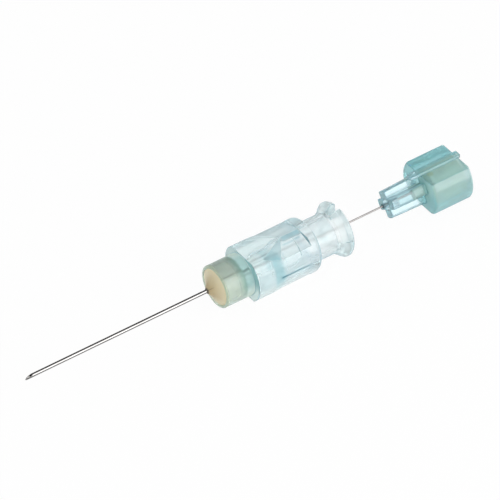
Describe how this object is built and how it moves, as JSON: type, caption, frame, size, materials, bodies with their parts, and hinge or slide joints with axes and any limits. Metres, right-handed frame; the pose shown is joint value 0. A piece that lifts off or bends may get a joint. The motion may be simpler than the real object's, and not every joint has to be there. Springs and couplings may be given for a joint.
{
  "type": "spinal needle",
  "caption": "Spinal needle with a clear faceted luer hub, a bevelled steel cannula and a withdrawn stylet on a tinted flat-sided cap.",
  "frame": {"origin": "centre of the luer socket's mouth, in the plane of the rim's rear face", "axes": "+X along the needle's axis out of the socket, so the point lies towards -X; +Z through the grip's upper flat and the key notch"},
  "size_m": [0.0693, 0.008, 0.0078],
  "materials": {
    "hub_clear": "polished clear moulding, faintly aqua",
    "needle_steel": "drawn and polished",
    "cannula_glue": "cured cream glue, smooth",
    "cap_tinted": "translucent turquoise moulding",
    "wire_steel": "drawn",
    "cap_glue": "cured cream glue, smooth"
  },
  "bodies": {
    "cannula": {"cannula_hub": "hub_clear", "cannula_tube": "needle_steel", "cannula_adhesive": "cannula_glue"},
    "stylet": {"stylet_cap": "cap_tinted", "stylet_wire": "wire_steel", "stylet_adhesive": "cap_glue"}
  },
  "joints": [
    {"name": "stylet_slide", "type": "slide", "parent": "cannula", "child": "stylet", "axis": [1, 0, 0], "range_m": [-0.013, 0.0365]}
  ]
}
